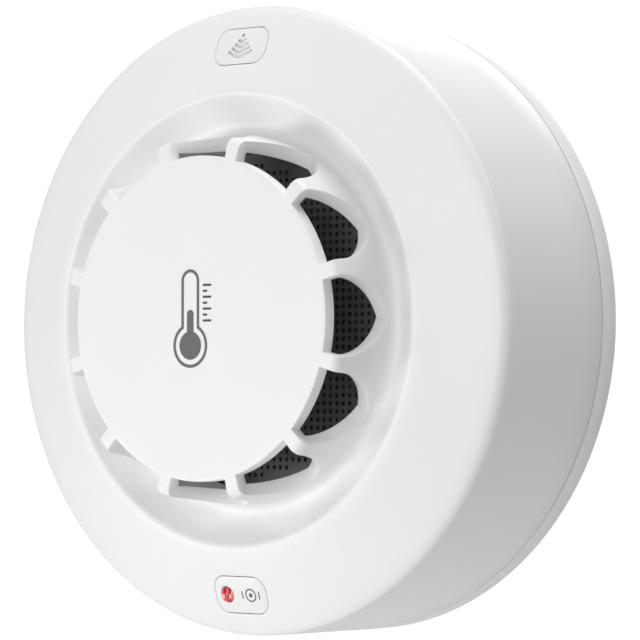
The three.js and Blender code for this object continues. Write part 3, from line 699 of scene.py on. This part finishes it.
def key_block(grow, y):
    """An upright tool with the outline of the key, grown all round."""
    width, height = KEY_WIDTH + 2 * grow, KEY_HEIGHT + 2 * grow
    return block(width, height, TOOL_LOW, TOOL_HIGH, 0, y, KEY_CORNER + grow)


def front_cover():
    """One sector of half a window and half a rib, mirrored, repeated round the cap and given its wall."""
    pairs, first, last = cover_stations()
    columns, rows = WINDOW_COLUMNS + RIB_COLUMNS, len(pairs) - 1
    select_only()
    bpy.ops.mesh.primitive_grid_add(x_subdivisions=columns, y_subdivisions=rows, size=1)
    piece = bpy.context.object
    edit(piece)

    def in_window(face):
        middle = face.calc_center_median()
        return (middle.x + 0.5) * columns < WINDOW_COLUMNS and first < (middle.y + 0.5) * rows < last

    pick(piece, "FACE", in_window)
    bpy.ops.mesh.delete(type="FACE")
    rest()
    for vertex in piece.data.vertices:
        column, row = round((vertex.co.x + 0.5) * columns), round((vertex.co.y + 0.5) * rows)
        radius, height = pairs[row][0]
        angle = math.radians(cover_angle(row, column, height, last))
        vertex.co = (radius * MM * math.cos(angle), radius * MM * math.sin(angle), height * MM)
    apply_modifier(piece, "MIRROR", use_axis=(False, True, False), merge_threshold=WELD)
    edit(piece)
    bpy.ops.mesh.select_all(action="SELECT")
    turn = math.tau * (WINDOW_COUNT - 1) / WINDOW_COUNT
    bpy.ops.mesh.spin(steps=WINDOW_COUNT - 1, dupli=True, angle=turn, center=(0, 0, 0), axis=(0, 0, 1))
    bpy.ops.mesh.select_all(action="SELECT")
    bpy.ops.mesh.remove_doubles(threshold=WELD)
    bpy.ops.mesh.dissolve_degenerate(threshold=WELD)
    bpy.ops.mesh.normals_make_consistent(inside=False)
    rest()
    face_up(piece, min(piece.data.polygons, key=lambda face: face.center.xy.length))
    outer = [vertex.co.copy() for vertex in piece.data.vertices]
    apply_modifier(piece, "SOLIDIFY", thickness=SHELL_WALL * MM, offset=-1, use_rim=True)
    for vertex, twin in zip(piece.data.vertices[len(outer):], outer):
        away = twin.xy.length
        place = (away / MM, twin.z / MM)
        radius, height = min(pairs, key=lambda pair: math.dist(pair[0], place))[1]
        way = twin.xy.normalized() if away > WELD else Vector((0, 0))
        vertex.co = (way.x * radius * MM, way.y * radius * MM, height * MM)
    apply_modifier(
        piece, "BEVEL", width=EDGE_ROUND * MM, segments=2, limit_method="ANGLE", angle_limit=math.radians(52),
    )
    for y in (-KEY_CIRCLE, KEY_CIRCLE):
        combine(piece, key_block(CLEARANCE, y), "DIFFERENCE")

    def round_a_key(edge):
        middle = (edge.verts[0].co + edge.verts[1].co) / 2 / MM
        near = abs(abs(middle.y) - KEY_CIRCLE) < KEY_HEIGHT / 2 + 1 and abs(middle.x) < KEY_WIDTH / 2 + 1
        return near and middle.z > ring_height(math.hypot(middle.x, middle.y)) - 0.2

    soften(piece, 0.1, round_a_key, 2)
    return stand_up(piece, "front_cover_shell", COVER_WHITE, "white_shell", "head", "front_cover")


# ---- Insect screen -----------------------------------------------------------------------------------

def insect_screen():
    """A plate of small upright holes with a plain rim, a hub round the sensor and a deep skirt."""
    cells = 2 * math.ceil(MESH_OUTER / SCREEN_PITCH)
    side = cells * SCREEN_PITCH * MM
    select_only()
    bpy.ops.mesh.primitive_grid_add(x_subdivisions=cells, y_subdivisions=cells, size=side)
    piece = bpy.context.object
    edit(piece)

    def outside(face):
        reach = [corner.co.xy.length / MM for corner in face.verts]
        return max(reach) > MESH_OUTER or min(reach) < MESH_INNER

    pick(piece, "FACE", outside)
    bpy.ops.mesh.delete(type="FACE")
    bpy.ops.mesh.select_all(action="SELECT")
    bpy.ops.mesh.inset(thickness=(SCREEN_PITCH - HOLE_TALL) / 2 * MM, use_individual=True)
    mesh = bmesh.from_edit_mesh(piece.data)
    for face in [one for one in mesh.faces if one.select]:
        middle = face.calc_center_median()
        for corner in face.verts:
            corner.co.x = middle.x + (corner.co.x - middle.x) * HOLE_WIDE / HOLE_TALL
    bmesh.update_edit_mesh(piece.data)
    bpy.ops.mesh.delete(type="ONLY_FACE")
    rest()
    for radius, near in ((SCREEN_RADIUS, True), (SCREEN_HUB, False)):
        fill_to_circle(piece, radius, near)
    edit(piece)

    def at_rim(edge):
        return edge.is_boundary and min(end.co.xy.length for end in edge.verts) > (SCREEN_RADIUS - 0.1) * MM

    pick(piece, "EDGE", at_rim)
    skirt = (0, 0, (SCREEN_FOOT - SCREEN_TOP) * MM)
    bpy.ops.mesh.extrude_edges_move(TRANSFORM_OT_translate={"value": skirt})
    tidy_mesh()
    rest()
    face_up(piece, max(piece.data.polygons, key=lambda face: abs(face.normal.z)))
    apply_modifier(piece, "SOLIDIFY", thickness=SCREEN_THICKNESS * MM, offset=-1, use_rim=True)
    move(piece, z=SCREEN_TOP)
    return stand_up(
        piece, "insect_screen_mesh", SCREEN_BLACK, "screen_black", "head", "insect_screen", smooth=25,
    )


def fill_to_circle(piece, radius, outward):
    """Fills the flat between the stepped edge of the holes and a circle outside or inside it."""
    select_only()
    bpy.ops.mesh.primitive_circle_add(vertices=96, radius=radius * MM)
    circle = bpy.context.object
    select_only(piece, circle)
    bpy.ops.object.join()
    edit(piece)
    middle = (MESH_OUTER + MESH_INNER) / 2 * MM
    shortest = (SCREEN_PITCH * 0.9) * MM

    def facing(edge):
        if edge.is_wire:
            return True
        if not edge.is_boundary or edge.calc_length() < shortest:
            return False
        return (edge.verts[0].co.xy.length > middle) == outward

    pick(piece, "EDGE", facing)
    bpy.ops.mesh.fill(use_beauty=True)
    rest()


# ---- Keys in the ring --------------------------------------------------------------------------------

def ring_plate(y):
    """A rounded plate that fills a hole in the ring, with a top that follows the ring face."""
    near, far = RING_INNER + 1, RIM_RADIUS - 1
    depth = SHELL_WALL + CLEARANCE + 1
    layer = [(near, ring_height(near) - depth), (far, ring_height(far) - depth), (far, ring_height(far))]
    layer += [(near, ring_height(near))]
    plate = key_block(KEY_FIT, y)
    combine(plate, turned(layer), "INTERSECT")

    def top_edge(edge):
        return all(end.co.z / MM > ring_height(end.co.xy.length / MM) - 0.05 for end in edge.verts)

    soften(plate, KEY_ROUND, top_edge)
    return plate


def test_button():
    piece = ring_plate(-KEY_CIRCLE)
    hole = rod(LENS_RADIUS + LENS_GAP, TOOL_LOW, TOOL_HIGH, LENS_OFFSET, -KEY_CIRCLE)
    combine(piece, hole, "DIFFERENCE")
    top = ring_height(KEY_CIRCLE)
    ring = turned([(1.0, -1), (1.28, -1), (1.28, 1), (1.0, 1)], 48)
    dot = rod(0.42, -1, 1)
    bars = [block(0.28, 1.5, -1, 1, x, 0, 0.13, 3) for x in (-2.0, 2.0)]
    mark = join([ring, dot, *bars])
    move(mark, MARK_OFFSET, -KEY_CIRCLE, top)
    combine(mark, ring_shell(0.02, 0.02), "INTERSECT")
    stand_up(mark, "button_mark", MARK_GREY, None, "test_key")
    return stand_up(piece, "test_button_key", KEY_WHITE, "white_key", "test_key", "test_button")


def ring_shell(proud, sunk):
    """A thin layer on the ring face, for what is printed on it."""
    near, far = RING_INNER + 1, RIM_RADIUS - 1
    return turned([
        (near, ring_height(near) - sunk), (far, ring_height(far) - sunk),
        (far, ring_height(far) + proud), (near, ring_height(near) + proud),
    ])


def button_lens():
    """The light guide: a round rod with shallow upright flutes across its domed end."""
    top = ring_height(KEY_CIRCLE)
    foot = -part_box("button_lens")[1].y / MM
    profile = [(0, foot), (LENS_RADIUS - 0.2, foot), (LENS_RADIUS - 0.2, top - 4), (LENS_RADIUS, top - 4)]
    profile += [(LENS_RADIUS, top - 0.12), (LENS_RADIUS - 0.06, top - 0.02), (LENS_RADIUS * 0.8, top + 0.1)]
    profile += [(LENS_RADIUS * 0.5, top + 0.22), (LENS_RADIUS * 0.25, top + 0.27), (0, top + 0.29)]
    piece = turned(profile, 64)
    edit(piece)
    pick(piece, "FACE", lambda face: face.calc_center_median().z > (top - 0.1) * MM)
    bpy.ops.mesh.subdivide(number_cuts=3)
    rest()
    for vertex in piece.data.vertices:
        if vertex.co.z > (top - 0.1) * MM:
            edge = 1 - (vertex.co.xy.length / (LENS_RADIUS * MM)) ** 2
            wave = math.cos(vertex.co.x / (LENS_RADIUS * MM) * math.pi * FLUTE_WAVES)
            vertex.co.z += FLUTE_DEPTH * MM * max(edge, 0) * wave
    move(piece, LENS_OFFSET, -KEY_CIRCLE)
    return stand_up(
        piece, "button_light_guide", LIGHT_RED, "red_lens", "test_key", "button_lens", smooth=50,
    )


def dust_gauze(y):
    """A thin dust gauze across the slots, just under the face of the plate."""
    near, far = y - 3.4, y + 3.0
    high = [(near, ring_height(near) - GAUZE_DEPTH), (far, ring_height(far) - GAUZE_DEPTH)]
    layer = [(far, high[1][1] - 0.3), high[1], high[0], (near, high[0][1] - 0.3)]
    gauze = key_block(-1, y)
    combine(gauze, turned(list(reversed(layer))), "INTERSECT")
    return gauze


def sound_outlet():
    """The small plate over the sounder: a dot and four curved slots bowed about it."""
    piece = ring_plate(KEY_CIRCLE)
    top = KEY_CIRCLE + SLOT_CENTRE
    for radius in SLOT_RADII:
        select_only()
        bpy.ops.mesh.primitive_plane_add(size=1)
        slot = bpy.context.object
        slot.rotation_euler = (math.pi / 2, 0, 0)
        slot.scale = (SLOT_WIDTH * MM, (TOOL_HIGH - TOOL_LOW) * MM, 1)
        slot.location = (radius * MM, 0, (TOOL_HIGH + TOOL_LOW) / 2 * MM)
        move_origin()
        move(slot, turn=270 - SLOT_SPREAD)
        edit(slot)
        bpy.ops.mesh.select_all(action="SELECT")
        sweep = math.radians(2 * SLOT_SPREAD)
        bpy.ops.mesh.spin(steps=14, angle=-sweep, center=(0, 0, 0), axis=(0, 0, 1))
        tidy_mesh()
        rest()
        move(slot, 0, top)
        combine(piece, slot, "DIFFERENCE")
        for angle in (270 - SLOT_SPREAD, 270 + SLOT_SPREAD):
            x = radius * math.cos(math.radians(angle))
            y = top + radius * math.sin(math.radians(angle))
            combine(piece, rod(SLOT_WIDTH / 2, TOOL_LOW, TOOL_HIGH, x, y, 20), "DIFFERENCE")
    combine(piece, rod(SLOT_WIDTH * 0.6, TOOL_LOW, TOOL_HIGH, 0, top, 24), "DIFFERENCE")
    gauze = dust_gauze(KEY_CIRCLE)
    piece = join([piece, gauze])
    return stand_up(piece, "sound_outlet", KEY_WHITE, "white_shell", "head", "sound_grille")


# ---- Mark printed on the cap -------------------------------------------------------------------------

def cap_mark():
    """A plain thermometer printed on the cap: an outlined tube and bulb, its filled column and a scale."""
    axis, bulb = -1.75, -5.0
    line, tube_radius, bulb_radius, tube_top = 0.6, 2.18, 4.15, 9.2
    filled_bulb, filled_stem, stem_tip = 2.65, 0.82, 1.65
    low, high = CAP_TOP - 0.03, CAP_TOP + 0.03

    def outline(shrink, low, high):
        whole = rod(bulb_radius - shrink, low, high, axis, bulb, 96)
        half = tube_radius - shrink
        joint = tube_top - tube_radius
        combine(whole, block(2 * half, joint - bulb, low, high, axis, (joint + bulb) / 2), "UNION")
        combine(whole, rod(half, low, high, axis, joint, 64), "UNION")
        return whole

    glass = outline(0, low, high)
    combine(glass, outline(line, low - 1, high + 1), "DIFFERENCE")
    column = rod(filled_bulb, low, high, axis, bulb, 64)
    stem_top = stem_tip - filled_stem
    stem = block(2 * filled_stem, stem_top - bulb, low, high, axis, (stem_top + bulb) / 2)
    combine(column, stem, "UNION")
    combine(column, rod(filled_stem, low, high, axis, stem_top, 32), "UNION")
    ticks = []
    for i in range(7):
        start, end = 3.07, 5.1 if i % 2 == 0 else 4.12
        ticks.append(block(end - start, 0.42, low, high, axis + (start + end) / 2, 6.2 - 1.1 * i, 0.12, 3))
    stand_up(join(ticks), "cap_mark_scale", TICK_GREY, None, "head")
    return stand_up(join([glass, column]), "cap_mark_thermometer", MARK_GREY, None, "head")


# ---- Mounting base -----------------------------------------------------------------------------------

def sector(inner, outer, low, high, start, span, steps=10):
    """Part of a ring: an upright plane spun through its span, angles in degrees."""
    select_only()
    bpy.ops.mesh.primitive_plane_add(size=1)
    piece = bpy.context.object
    piece.rotation_euler = (math.pi / 2, 0, 0)
    piece.scale = ((outer - inner) * MM, (high - low) * MM, 1)
    piece.location = ((outer + inner) / 2 * MM, 0, (low + high) / 2 * MM)
    move_origin()
    move(piece, turn=start)
    edit(piece)
    bpy.ops.mesh.select_all(action="SELECT")
    bpy.ops.mesh.spin(steps=steps, angle=-math.radians(span), center=(0, 0, 0), axis=(0, 0, 1))
    tidy_mesh()
    rest()
    return piece


def base_hook(start):
    """A twist-lock hook: an upright wall with an outward lip, and a stop at one end."""
    inner, outer = HOOK_RADIUS - 1, HOOK_RADIUS + 1
    sink = BASE_PLATE / 2
    hook = sector(inner, outer, sink, HOOK_TOP, start - 1.6, HOOK_SPAN + 1.6)
    combine(hook, sector(outer - 0.2, outer + 2.4, HOOK_TOP - 1.6, HOOK_TOP, start, HOOK_SPAN), "UNION")
    combine(hook, sector(inner, outer + 4.4, sink, HOOK_TOP, start - 1.9, 1.6, 3), "UNION")
    return hook


def mounting_base():
    """The band against the wall, hollow behind, with its upstand, hooks, screw slots and keyholes."""
    inner = UPSTAND_OUTER - UPSTAND_WALL
    high = BAND_HEIGHT + 2.2
    channel_outer, channel_inner, roof = BODY_RADIUS - 1.5, UPSTAND_OUTER - 0.2, BAND_HEIGHT - 1.6
    channel = [(channel_outer, 0), (channel_outer, roof), (channel_inner, roof), (channel_inner, 0)]
    outer = [(BODY_RADIUS - 0.4, 0), (BODY_RADIUS - 0.12, 0.12), (BODY_RADIUS, 0.4)]
    outer += [(BODY_RADIUS, BAND_HEIGHT - 0.35), (BODY_RADIUS - 0.1, BAND_HEIGHT - 0.1)]
    outer += [(BODY_RADIUS - 0.35, BAND_HEIGHT)]
    upstand = [(UPSTAND_OUTER, BAND_HEIGHT), (UPSTAND_OUTER, high - 0.4)]
    upstand += [(UPSTAND_OUTER - 0.4, high), (inner, high)]
    floor = [(inner, BASE_PLATE + 0.4), (inner - 0.4, BASE_PLATE), (0, BASE_PLATE)]
    piece = turned([(0, 0), *reversed(channel), *outer, *upstand, *floor])
    stiffener = turned([(19, 1), (20.4, 1), (20.4, 3), (20.2, 3.2), (19.2, 3.2), (19, 3)])
    combine(piece, stiffener, "UNION")
    starts = [HOOK_START + 360 / HOOK_COUNT * i for i in range(HOOK_COUNT)]
    for start in starts:
        combine(piece, base_hook(start), "UNION")
    for start in starts:
        slot = sector(HOOK_RADIUS + 1.1, HOOK_RADIUS + 3.4, -1, BASE_PLATE + 1, start, HOOK_SPAN)
        combine(piece, slot, "DIFFERENCE")
    rounding = WALL_SLOT_WIDTH / 2 - 0.01
    for x in (-WALL_SLOT_CIRCLE, WALL_SLOT_CIRCLE):
        slot = block(WALL_SLOT_WIDTH, WALL_SLOT_LENGTH, -1, BASE_PLATE + 1, x, 0, rounding)
        combine(piece, slot, "DIFFERENCE")
    for y in (-WALL_SLOT_CIRCLE, WALL_SLOT_CIRCLE):
        slot = block(WALL_SLOT_WIDTH, WALL_SLOT_LENGTH, -1, BASE_PLATE + 1, 0, y, rounding)
        head = y - WALL_SLOT_LENGTH / 2 + KEYHOLE_RADIUS
        combine(slot, rod(KEYHOLE_RADIUS, -1, BASE_PLATE + 1, 0, head, 48), "UNION")
        combine(piece, slot, "DIFFERENCE")
    return stand_up(piece, "mounting_base_ring", BASE_WHITE, "white_shell", "base", "mounting_base")


# ---- Camera, lights and floor ------------------------------------------------------------------------

def camera_and_lights():
    azimuth, elevation, distance = math.radians(38.461), math.radians(-1.527), 0.6278
    aim = Vector((0.0, -0.01332, 0.00049))
    level = math.cos(elevation)
    back = Vector((math.sin(azimuth) * level, -math.cos(azimuth) * level, math.sin(elevation)))
    data = bpy.data.cameras.new("view")
    data.lens, data.sensor_width = 181.54, 36.0
    data.clip_start, data.clip_end = 0.01, 50.0
    camera = bpy.data.objects.new("view", data)
    camera.location = aim + back * distance
    camera.rotation_euler = (math.pi / 2 - elevation, 0, azimuth)
    bpy.context.scene.collection.objects.link(camera)
    bpy.context.scene.camera = camera

    for name, power, size, place in (
        ("key_light", 14.6, 0.8, (-0.80, -0.98, -0.50)),
        ("front_light", 6.0, 0.8, (0.20, -1.25, 0.20)),
        ("top_light", 9.1, 0.8, (0.10, 0.0, 1.10)),
        ("edge_light", 3.8, 0.8, (0.80, 0.50, 0.80)),
        ("back_light", 7.0, 0.8, (-0.45, 1.20, 0.35)),
    ):
        lamp = bpy.data.lights.new(name, "AREA")
        lamp.energy, lamp.size = power, size
        light = bpy.data.objects.new(name, lamp)
        light.location = place
        light.rotation_euler = (-Vector(place)).to_track_quat("-Z", "Y").to_euler()
        bpy.context.scene.collection.objects.link(light)

    world = bpy.data.worlds.new("studio")
    bpy.context.scene.world = world
    world.use_nodes = True
    nodes, links = world.node_tree.nodes, world.node_tree.links
    seen, ambient = nodes["Background"], nodes.new("ShaderNodeBackground")
    seen.inputs["Color"].default_value = (1, 1, 1, 1)
    seen.inputs["Strength"].default_value = 1.05
    ambient.inputs["Color"].default_value = (1, 1, 1, 1)
    ambient.inputs["Strength"].default_value = 0.15
    choose = nodes.new("ShaderNodeMixShader")
    links.new(nodes.new("ShaderNodeLightPath").outputs["Is Camera Ray"], choose.inputs["Fac"])
    links.new(ambient.outputs["Background"], choose.inputs[1])
    links.new(seen.outputs["Background"], choose.inputs[2])
    links.new(choose.outputs["Shader"], nodes["World Output"].inputs["Surface"])
    bpy.context.scene.view_settings.view_transform = "Standard"

    select_only()
    bpy.ops.mesh.primitive_circle_add(vertices=96, radius=3.5, fill_type="NGON", location=(0, 0, -0.45))
    floor = bpy.context.object
    floor.name = "floor"
    floor.data.materials.append(plastic(
        "floor_pale", (0.86, 0.86, 0.86), (0.84, 0.84, 0.84), (0.8, 0.8, 0.8),
        gloss=(0.7, 0.8), grain=300.0, mottle=3.0,
    ))


# ---- Finishes of the pieces that stay as they are ----------------------------------------------------

def finish_inner_pieces():
    finishes = {
        "rear_cover": INNER_PLASTIC, "battery_door": INNER_PLASTIC, "sounder_case": CHIP_BLACK,
        "battery_spring_1": TIN_PLATE, "battery_spring_2": TIN_PLATE, "contact_link": TIN_PLATE,
        "contact_terminal_1": TIN_PLATE, "contact_terminal_2": TIN_PLATE, "main_board": BOARD_GREEN,
        "radio_module": BOARD_GREEN, "radio_shield": TIN_PLATE, "control_chip": CHIP_BLACK,
        "capacitor": CHIP_BLACK, "sound_coil": COPPER, "sounder_disc": BRASS,
        "thermistor_sleeve": SCREEN_BLACK, "thermistor": BEAD_AMBER, "switch_body": CHIP_BLACK,
        "switch_plunger": KEY_WHITE, "status_led": LIGHT_RED,
        "battery_cell_1": cell_wrap("battery_cell_1", 1), "battery_cell_2": cell_wrap("battery_cell_2", -1),
    }
    for i in (1, 2, 3):
        finishes[f"housing_screw_{i}"] = SCREW_STEEL
        finishes[f"board_screw_{i}"] = SCREW_STEEL
    for name, material in finishes.items():
        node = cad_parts[name]
        if not node.material_slots:
            node.data.materials.append(material)
        for place in node.material_slots:
            place.material = material


camera_and_lights()
front_cover()
insect_screen()
test_button()
button_lens()
sound_outlet()
cap_mark()
mounting_base()
finish_inner_pieces()
